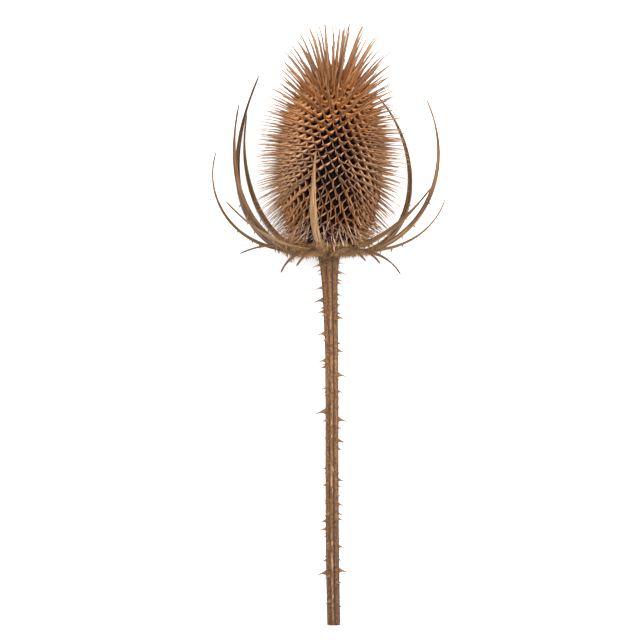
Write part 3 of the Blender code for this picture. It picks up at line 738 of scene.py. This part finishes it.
def stem_prickles(places):
    """The stem's prickles, longer along the stem than across it, drooping to the cut end. Those
    that face the viewer are narrower."""
    bearing, down, length = places.T
    bearing = np.radians(bearing)
    middle, radius = stem_line(down)
    out = heading(bearing, 0 * bearing)
    base = middle + out * (radius * PRICKLE_ROOT)[:, None]
    droop = np.tile([0.0, -PRICKLE_DROOP, 0.0], (len(down), 1))
    reach = length + radius * (1 - PRICKLE_ROOT) + PRICKLE_OVER
    # Prickles facing the viewer are made narrower here, and their finish paints them pale as a
    # highlight.
    facing = (np.abs(bearing - math.pi / 2) < 0.3).astype(float)
    half_down = 0.26 * length + 0.45 * MM
    half_across = (0.13 * length + 0.28 * MM) * (1 - 0.5 * facing)
    half = np.stack([half_down, half_across], 1)
    points, t = spikes(base, out, droop, reach, half, 8, 9, PRICKLE_FOOT)
    marks = {
        "climb": t[None, :, None],
        "tone": np.modf(bearing * 7.7 + down * 3100)[0][:, None, None] % 1,
        "facing": facing[:, None, None],
    }
    closed_tubes("stem_prickles", points, marks, "stem", "prickle")


def bristles(rng):
    """The fringe under the head: short stiff scales that stand out and hang from the saucer."""
    bearing = rng.uniform(0, math.tau, BRISTLES)
    r, y = np.array(SAUCER[1:6]).T * MM
    reach = rng.uniform(r[0], r[-1], BRISTLES)
    level = np.interp(reach, r, y)
    rise = np.radians(rng.uniform(*BRISTLE_RISES, BRISTLES))
    base = from_axis(reach, bearing, level + 0.15 * MM)
    out = heading(bearing + rng.uniform(-0.6, 0.6, BRISTLES), rise)
    droop = rng.uniform(-0.3, 0.3, (BRISTLES, 3)) + (0.0, 0.1, 0.0)
    length = rng.uniform(*BRISTLE_LENGTHS, BRISTLES) * MM
    half = np.stack([0.05 + 0.02 * length / MM, 0.09 + 0.04 * length / MM], 1) * MM
    spike = (base, out, droop, length, half)
    fine_spikes("foot_bristles", "seed_head", "bristle", spike, 4, rng)


def skirt(rng):
    """Fine awns round the foot, between the lowest paleae and the bracts, but for the front."""
    bearing = np.radians(rng.uniform(*SKIRT_BEARINGS, SKIRT))
    rise = np.radians(rng.uniform(*SKIRT_RISES, SKIRT))
    base = heading(bearing, 0 * bearing) * rng.uniform(*SKIRT_RADII, (SKIRT, 1)) * MM
    base[:, 1] += rng.uniform(0.2, 1.8, SKIRT) * MM
    out = heading(bearing + rng.uniform(-0.2, 0.2, SKIRT), rise)
    droop = rng.uniform(-0.1, 0.1, (SKIRT, 3)) + (0.0, 0.12, 0.0)
    length = rng.uniform(*SKIRT_LENGTHS, SKIRT) * MM
    spike = (base, out, droop, length, np.tile(SKIRT_HALF, (SKIRT, 1)))
    fine_spikes("foot_awns", "seed_head", "bristle", spike, 5, rng)


def whiskers(sites, root, way, level, rng):
    """Thin bleached awns over the lowest cells in front, beside the spines of those cells."""
    aside = np.abs(sites[:, 1] % (math.tau) - math.pi / 2)
    chosen = np.flatnonzero((level < WHISKERED) & (aside < WHISKER_BEARINGS))
    count = len(chosen)
    base = root[chosen] + rng.uniform(-0.8, 0.8, (count, 3)) * MM
    lean = rng.uniform(-0.25, 0.25, (count, 3)) - (0.0, 0.6, 0.0)
    out = unit(0.6 * way[chosen] + lean)
    droop = rng.uniform(-0.3, 0.3, (count, 3)) - (0.0, 0.1, 0.0)
    shorter = np.clip(0.3 + level[chosen] / (7 * MM), 0, 1)
    length = rng.uniform(*WHISKER_LENGTHS, count) * MM * shorter
    spike = (base, out, droop, length, np.full((count, 2), WHISKER_HALF))
    fine_spikes("whiskers", "seed_head", "whisker", spike, 6, rng)


def bract_hairs(spec, rng):
    """Short hairs on the outer side and margins of a bract, for the first HAIRY of its length."""
    share = rng.uniform(0, 1, BRACT_HAIRS) ** 1.3 * min(HAIRY / spec[3], 0.8)
    point, way, into = bract_at(spec, LINE_STATIONS, share)
    side = np.cross(way, into)
    across = rng.uniform(-1, 1, BRACT_HAIRS)
    width, depth = bract_width(share, spec[-1]), bract_depth(share, spec[-1])
    base = (point + side * (across * width * 0.46)[:, None]
            - into * (depth * (0.44 - 0.7 * across**2))[:, None])
    scatter = rng.uniform(-0.6, 0.6, (BRACT_HAIRS, 3))
    out = unit(-into + side * (across * 1.1)[:, None] + scatter)
    droop = rng.uniform(-0.4, 0.4, (BRACT_HAIRS, 3)) - 0.2 * way
    length = rng.uniform(*BRACT_HAIR_LENGTHS, BRACT_HAIRS) * MM
    spike = (base, out, droop, length, np.full((BRACT_HAIRS, 2), BRACT_HAIR_HALF))
    fine_spikes(spec[0] + "_hairs", spec[0], "hair", spike, 4, rng)


def collar_hairs(rng):
    """Pale curled hairs on the collar and, thinly, on the top of the stem."""
    count = COLLAR_HAIRS
    bearing = rng.uniform(0, math.tau, count)
    down = 0.8 * MM + 6.5 * MM * rng.uniform(0, 1, count) ** 1.5
    middle, radius = stem_line(down)
    base = middle + heading(bearing, 0 * bearing) * (radius * 0.97)[:, None]
    out = heading(bearing + rng.uniform(-0.9, 0.9, count), rng.uniform(-1.2, 0.5, count))
    curl = rng.uniform(-1.1, 1.1, (count, 3)) * (1.0, 0.7, 1.0)
    droop = curl - (0, 0.3, 0)
    length = rng.uniform(*COLLAR_HAIR_LENGTHS, count) * MM
    spike = (base, out, droop, length, np.full((count, 2), COLLAR_HAIR_HALF))
    fine_spikes("collar_hairs", "stem", "hair", spike, 6, rng)


def bract_blade(spec, stations, tone):
    """A bract or spur: a trough carried along its line. At a share a of the half width its
    inner face stands at 0.1 + 0.28 |a|^1.6 of the depth, and its outer at -0.5 + 0.88 |a|^1.9."""
    t, middle, ahead, inward = bract_line(spec, stations)
    spur = spec[0].startswith("spur")
    width, depth = bract_width(t, spec[-1]), bract_depth(t, spec[-1])
    point = BRACT_POINT * np.sqrt(np.clip((1 - t) / POINT_RUN, 0, 1)) + LEAST_WIDTH
    width, depth = np.maximum(width, point), np.maximum(depth, 0.8 * point)
    turn = around(BRACT_AROUND) + math.pi / BRACT_AROUND
    across = np.cos(turn)
    size = np.abs(across)
    inner = 0.5 * np.sqrt(1 - size**2) if spur else 0.1 + 0.28 * size**1.6
    outer = -0.5 * np.sqrt(1 - size**2) if spur else -0.5 + 0.88 * size**1.9
    lift = np.where(np.sin(turn) > 0, inner, outer)
    side = np.cross(ahead, inward)
    points = (middle[:, None] + side[:, None] * (across[None] * width[:, None] / 2)[..., None]
              + inward[:, None] * (lift[None] * depth[:, None])[..., None])
    marks = {
        "across": across[None, None, :],
        "along": (t * spec[3] / MM)[None, :, None],
        "climb": t[None, :, None],
        "inner": (np.sin(turn) > 0).astype(float)[None, None, :],
        "tone": np.full((1, 1, 1), tone),
        # light: painted light and shade for the whole blade.
        "light": np.full((1, 1, 1), BRACT_PAINTED_LIGHT.get(spec[0], OTHER_PAINTED_LIGHT)),
    }
    closed_tubes(spec[0] + "_blade", points[None], marks, spec[0], "bract")


def bract_prickles(spec, rng):
    """A few prickles along the keel of a long bract, hooked back towards its root."""
    share = np.linspace(BRACT_PRICKLE_FROM, BRACT_PRICKLE_TO, BRACT_PRICKLES)
    draws = np.array([(0.03 * rng.uniform(-1, 1), rng.uniform(0.7, 1.1)) for _ in share])
    share = share + draws[:, 0]
    point, way, into = bract_at(spec, BRACT_PRICKLE_STATIONS, share)
    length = BRACT_PRICKLE_LENGTH * draws[:, 1]
    sunk = bract_depth(share, spec[-1]) * 0.25
    base = point - into * sunk[:, None]
    half = np.stack([0.30 * length, 0.20 * length], 1)
    points, t = spikes(base, -unit(into), -PRICKLE_DROOP * way, length + sunk, half, 6, 5)
    marks = {"climb": t[None, :, None], "tone": share[:, None, None]}
    closed_tubes(spec[0] + "_prickles", points, marks, spec[0], "prickle")


# Finishes

def node(tree, kind, **settings):
    made = tree.nodes.new(kind)
    for name, value in settings.items():
        setattr(made, name, value)
    return made


def mark(tree, name):
    return node(tree, "ShaderNodeAttribute", attribute_name=name).outputs["Fac"]


def ramp(tree, factor, stops):
    """A colour ramp of (position, colour in linear numbers)."""
    made = node(tree, "ShaderNodeValToRGB")
    band = made.color_ramp
    band.elements[0].position, band.elements[1].position = stops[0][0], stops[-1][0]
    band.elements[0].color, band.elements[1].color = (*stops[0][1], 1), (*stops[-1][1], 1)
    for position, colour in stops[1:-1]:
        band.elements.new(position).color = (*colour, 1)
    tree.links.new(factor, made.inputs["Fac"])
    return made.outputs["Color"]


def feed(tree, sockets, values):
    """Gives each socket its number or colour, or links it to the output given for it."""
    for socket, value in zip(sockets, values):
        if isinstance(value, (int, float)):
            socket.default_value = value
        elif isinstance(value, tuple):
            socket.default_value = (*value, 1)
        else:
            tree.links.new(value, socket)


def sums(tree, operation, *values):
    made = node(tree, "ShaderNodeMath", operation=operation)
    feed(tree, made.inputs, values)
    return made.outputs[0]


def blend(tree, factor, first, second, way="MIX"):
    """Two colours mixed by a factor; either may be a plain colour."""
    made = node(tree, "ShaderNodeMix", data_type="RGBA", blend_type=way)
    feed(tree, (made.inputs[0], made.inputs[6], made.inputs[7]), (factor, first, second))
    return made.outputs[2]


def tinted(tree, colour, tint, share=1.0):
    """A colour multiplied by another, wholly or by a share."""
    return blend(tree, share, colour, tint, "MULTIPLY")


def fitted(tree, value, low, high):
    """A value mapped so that low gives 0 and high gives 1, and no further."""
    made = node(tree, "ShaderNodeMapRange")
    feed(tree, made.inputs, (value, low, high))
    return made.outputs[0]


def grey(tree, value):
    """The grey of a value, which may be over 1."""
    made = node(tree, "ShaderNodeCombineColor")
    feed(tree, made.inputs, (value,) * 3)
    return made.outputs[0]


def toned(tree, colour, spread, least):
    """A colour made lighter or darker from spike to spike, by the draw marked as tone."""
    tone = sums(tree, "MULTIPLY_ADD", mark(tree, "tone"), spread, least)
    return tinted(tree, colour, grey(tree, tone))


def noise(tree, scale, stretch=(1, 1, 1), detail=3.0, vector=None):
    """Noise over the piece, by its object coordinates or a vector of marks."""
    place = node(tree, "ShaderNodeMapping")
    place.inputs["Scale"].default_value = stretch
    source = vector or node(tree, "ShaderNodeTexCoord").outputs["Object"]
    tree.links.new(source, place.inputs["Vector"])
    made = node(tree, "ShaderNodeTexNoise")
    made.inputs["Scale"].default_value = scale
    made.inputs["Detail"].default_value = detail
    tree.links.new(place.outputs[0], made.inputs["Vector"])
    return made.outputs["Fac"]


def vector_of(tree, x, y, z):
    made = node(tree, "ShaderNodeCombineXYZ")
    feed(tree, made.inputs, (x, y, z))
    return made.outputs[0]


def finished(name, roughness, paint, shine=0.3):
    """A Principled material whose colour comes from a function of its node tree."""
    made = bpy.data.materials.new(name)
    made.use_nodes = True
    inputs = made.node_tree.nodes["Principled BSDF"].inputs
    inputs["Roughness"].default_value = roughness
    inputs["Specular IOR Level"].default_value = shine
    feed(made.node_tree, [inputs["Base Color"]], [paint(made.node_tree)])
    return made


def bumped(tree, height, strength, distance=0.3 * MM):
    """Raises the surface by a height."""
    made = node(tree, "ShaderNodeBump")
    made.inputs["Strength"].default_value = strength
    made.inputs["Distance"].default_value = distance
    tree.links.new(height, made.inputs["Height"])
    tree.links.new(made.outputs["Normal"], tree.nodes["Principled BSDF"].inputs["Normal"])


def palea_paint(tree):
    """A palea: dark in its cell and its grooves, which is painted shade, and pale along its rim,
    keel and edges, which is partly its own colour and partly painted highlight. The pale parts
    are pinkish cream where it is bleached, tan low down and orange higher up."""
    climb = mark(tree, "climb")
    # Every ramp runs nearly black at the bottom of the cell: painted shade, darkest deepest in.
    dark_low = ramp(tree, climb, [
        (0.0, (0.003, 0.001, 0.001)), (0.15, (0.046, 0.012, 0.004)), (0.30, (0.070, 0.021, 0.008)),
        (0.44, (0.105, 0.038, 0.012)), (1.0, (0.26, 0.135, 0.060))])
    pale_low = ramp(tree, climb, [
        (0.0, (0.010, 0.004, 0.002)), (0.17, (0.12, 0.05, 0.028)), (0.30, (0.52, 0.33, 0.21)),
        (0.50, (0.56, 0.33, 0.16)), (1.0, (0.64, 0.40, 0.22))])
    dark_high = ramp(tree, climb, [
        (0.0, (0.003, 0.001, 0.001)), (0.15, (0.050, 0.011, 0.003)), (0.30, (0.095, 0.022, 0.004)),
        (0.44, (0.12, 0.033, 0.005)), (1.0, (0.21, 0.11, 0.055))])
    pale_high = ramp(tree, climb, [
        (0.0, (0.012, 0.004, 0.002)), (0.17, (0.14, 0.05, 0.018)), (0.30, (0.56, 0.25, 0.080)),
        (0.50, (0.48, 0.205, 0.060)), (0.72, (0.38, 0.22, 0.11)), (1.0, (0.38, 0.245, 0.145))])
    lift = fitted(tree, mark(tree, "height"), 0.38, 0.80)
    pale_foot = ramp(tree, climb, [
        (0.0, (0.010, 0.004, 0.002)), (0.17, (0.05, 0.018, 0.010)), (0.30, (0.15, 0.075, 0.048)),
        (0.42, (0.30, 0.19, 0.14)), (0.6, (0.54, 0.41, 0.33))])
    pale_low = blend(tree, mark(tree, "bleach"), pale_low, pale_foot)
    brown = mark(tree, "brown")
    dark = tinted(tree, blend(tree, lift, dark_low, dark_high), (0.50, 0.32, 0.20), brown)
    pale = tinted(tree, blend(tree, lift, pale_low, pale_high), (0.88, 0.66, 0.42), brown)
    # Dark where the edge mark is low, as painted shade in the cell and between the wings; pale where
    # it is high, partly own colour and partly painted highlight.
    colour = blend(tree, sums(tree, "POWER", mark(tree, "edge"), 1.8), dark, pale)
    tone = sums(tree, "MULTIPLY_ADD", mark(tree, "tone"), 0.6, 0.7)
    grain = sums(tree, "ADD", noise(tree, 900), 0.5)
    return tinted(tree, colour, grey(tree, sums(tree, "MULTIPLY", tone, grain)))


def heart_paint(tree):
    """The floor of the cells, nearly black with painted shade since it lies deep in them, and the tan
    saucer under them.
    """
    # Painted shade: the cell floor is kept nearly black, as shade deep in the cells.
    shade = ramp(tree, noise(tree, 700), [
        (0.35, (0.003, 0.0015, 0.001)), (0.7, (0.014, 0.006, 0.004))])
    under = ramp(tree, noise(tree, 900), [
        (0.35, (0.08, 0.035, 0.015)), (0.65, (0.25, 0.14, 0.065))])
    level = fitted(tree, mark(tree, "level"), 0.5, 1.0)
    return blend(tree, level, under, shade)


def bract_paint(tree):
    """Straw with lengthwise veins, browner at the root and the tip, lighter or darker by bract with
    painted light and shade, and warmer where painted darker.
    """
    seed = sums(tree, "MULTIPLY", mark(tree, "tone"), 40.0)
    place = vector_of(tree, mark(tree, "across"), mark(tree, "along"), seed)
    lines = noise(tree, 1.0, (5.0, 0.10, 1.0), 2.0, place)
    veins = ramp(tree, lines, [
        (0.30, (0.045, 0.017, 0.005)), (0.44, (0.118, 0.056, 0.018)), (0.56, (0.185, 0.100, 0.036)),
        (0.68, (0.30, 0.18, 0.078))])
    tip = ramp(tree, mark(tree, "climb"), [
        (0.0, (0.75, 0.65, 0.55)), (0.12, (1.0, 1.0, 1.0)), (0.72, (1.0, 0.95, 0.88)),
        (1.0, (0.95, 0.66, 0.42))])
    # Painted light and shade by blade: the light mark brightens the front blade and darkens the
    # others, and this tint warms them as they darken.
    painted_light_tint = ramp(tree, mark(tree, "light"), [
        (0.45, (0.88, 0.72, 0.52)), (0.70, (0.96, 0.90, 0.80)), (1.0, (0.92, 1.0, 1.15))])
    colour = tinted(tree, tinted(tree, veins, tip), painted_light_tint)
    shade = sums(tree, "MULTIPLY_ADD", noise(tree, 260), 0.8, 0.6)
    bumped(tree, lines, 0.6)
    return tinted(tree, colour, grey(tree, sums(tree, "MULTIPLY", shade, mark(tree, "light"))))


def stem_paint(tree):
    """Brown bark: pale lengthwise ridges, dark grooves, a broken pale crest, flecks, a dark collar
    and the pith in the cut."""
    place = vector_of(tree, mark(tree, "turn_cos"), mark(tree, "down"), mark(tree, "turn_sin"))
    streaks = noise(tree, 1.0, (9.0, 22.0, 9.0), 5.0, place)
    streaks = sums(tree, "MULTIPLY_ADD", streaks, 0.50, 0.05)
    ridge = sums(tree, "MULTIPLY_ADD", mark(tree, "ridge"), 0.11, streaks)
    bark = ramp(tree, ridge, [
        (0.22, (0.026, 0.009, 0.002)), (0.31, (0.064, 0.025, 0.0065)), (0.41, (0.106, 0.047, 0.0135)),
        (0.53, (0.165, 0.083, 0.028))])
    collar = ramp(tree, mark(tree, "down"), [
        (0.0, (0.60, 0.45, 0.28)), (0.022, (0.42, 0.33, 0.22)), (0.038, (0.34, 0.28, 0.18)),
        (0.06, (0.82, 0.76, 0.60)), (0.3, (1.1, 1.1, 1.1)), (1.0, (0.66, 0.54, 0.38))])
    mottle = noise(tree, 1900, (1, 0.6, 1), 4.0)
    fleck = ramp(tree, mottle, [
        (0.35, (0.42, 0.38, 0.36)), (0.5, (0.98, 0.98, 0.98)), (0.65, (1.65, 1.62, 1.55))])
    colour = tinted(tree, tinted(tree, bark, collar), fleck)
    broken = fitted(tree, noise(tree, 420, (1, 0.3, 1)), 0.50, 0.62)
    crest = sums(tree, "MULTIPLY", mark(tree, "crest"), broken)
    colour = blend(tree, sums(tree, "MULTIPLY", crest, 0.65), colour, (0.34, 0.23, 0.135))
    groove = sums(tree, "MULTIPLY", mark(tree, "groove"), sums(tree, "ADD", mottle, 0.6))
    colour = blend(tree, groove, colour, (0.016, 0.006, 0.002))
    bumped(tree, ridge, 0.7)
    return blend(tree, mark(tree, "pith"), colour, (0.52, 0.42, 0.28))


def prickle_paint(tree):
    """Prickles: brown at the broad foot, straw in the middle. Those that face the viewer are painted
    pale, as a highlight.
    """
    colour = ramp(tree, mark(tree, "climb"), [
        (0.0, (0.085, 0.038, 0.012)), (0.3, (0.13, 0.060, 0.021)), (0.6, (0.17, 0.085, 0.034)),
        (1.0, (0.13, 0.062, 0.026))])
    # Painted highlight: prickles that face the viewer and the lamps are made pale cream.
    facing = sums(tree, "MULTIPLY", mark(tree, "facing"), 0.75)
    colour = blend(tree, facing, colour, (0.42, 0.29, 0.175))
    return toned(tree, colour, 0.5, 0.75)


def bristle_paint(foot, tip):
    """Bristles and hairs: from a foot colour to a tip colour, each a little lighter or darker."""
    def paint(tree):
        return toned(tree, ramp(tree, mark(tree, "climb"), [(0.0, foot), (0.7, tip)]), 0.7, 0.6)
    return paint


def ground_paint(tree):
    return (0.97, 0.97, 0.97)


BRISTLE = bristle_paint((0.11, 0.040, 0.012), (0.29, 0.145, 0.055))
BLEACHED = bristle_paint((0.42, 0.29, 0.21), (0.66, 0.52, 0.42))
HAIR = bristle_paint((0.12, 0.052, 0.016), (0.27, 0.14, 0.050))
MATERIALS = {
    "palea": finished("dry_palea", 0.6, palea_paint),
    "heart": finished("cell_floor", 0.9, heart_paint, 0.1),
    "bract": finished("dry_bract", 0.6, bract_paint),
    "stem": finished("stem_bark", 0.7, stem_paint),
    "prickle": finished("prickle_straw", 0.5, prickle_paint, 0.4),
    "bristle": finished("foot_bristle", 0.6, BRISTLE),
    "whisker": finished("bleached_awn", 0.6, BLEACHED),
    "hair": finished("collar_hair", 0.6, HAIR),
    "ground": finished("pale_ground", 0.95, ground_paint, 0.0),
}


# Stage

def ground():
    """A wide flat square at the surface that the plant lies on."""
    mesh = bpy.data.meshes.new("ground")
    mesh.from_pydata([(-3, -3, 0), (3, -3, 0), (3, 3, 0), (-3, 3, 0)], [], [(0, 1, 2, 3)])
    mesh.materials.append(MATERIALS["ground"])
    placed("ground", mesh)


def lamp(name, at, size, power):
    """A soft square lamp that faces the head."""
    light = bpy.data.lights.new(name, "AREA")
    light.size, light.energy = size, power
    made = placed(name, light)
    made.location = at
    made.rotation_euler = (Vector(LAMPS_FACE) - Vector(at)).to_track_quat("-Z", "Y").to_euler()


def camera():
    """A long lens square to the plant, from the side that is seen."""
    data = bpy.data.cameras.new("camera")
    data.lens, data.sensor_width = LENS, SENSOR
    distance = FRAME_WIDTH * LENS / SENSOR
    data.clip_start, data.clip_end = 0.01, 20.0
    made = placed("camera", data)
    made.matrix_world = LIE @ Matrix.Translation((*FRAME_CENTRE, distance))
    bpy.context.scene.camera = made


def sky():
    """Even white light from all round."""
    world = bpy.data.worlds.new("studio")
    world.use_nodes = True
    world.node_tree.nodes["Background"].inputs["Color"].default_value = (1, 1, 1, 1)
    world.node_tree.nodes["Background"].inputs["Strength"].default_value = SKY_STRENGTH
    bpy.context.scene.world = world


def main():
    rng = np.random.default_rng(SEED)
    lines = []
    for spec in BRACTS + SPURS:
        t, points, _, _ = bract_line(spec, LINE_STATIONS)
        lines.append((points, bract_width(t, spec[-1]) / 2))
    profile = egg_profile()
    sites = pack_cells(profile, rng)
    root, way, length = spines(profile, sites, rng, lines)
    places = prickle_places(rng)
    for spec in BRACTS:
        bract_prickles(spec, rng)
    looks = np.random.default_rng(SEED + 1)
    paleae(profile, sites, root, way, length, looks)
    receptacle(profile)
    bristles(looks)
    skirt(looks)
    stem_bark(looks)
    stem_prickles(np.concatenate([places, np.array(SMALL_PRICKLES) * (1, MM, MM)]))
    collar_hairs(looks)
    whiskers(sites, root, way, along(profile, "y", sites[:, 0]), looks)
    for number, spec in enumerate(BRACTS):
        bract_blade(spec, BRACT_STATIONS, number / len(BRACTS))
        bract_hairs(spec, looks)
    for number, spec in enumerate(SPURS):
        bract_blade(spec, SPUR_STATIONS, number / len(SPURS))
        bract_hairs(spec, looks)
    ground()
    for name, (at, size, power) in LAMPS.items():
        lamp(name, at, size, power)
    bpy.context.scene.view_settings.view_transform = "Standard"
    sky()
    camera()


main()
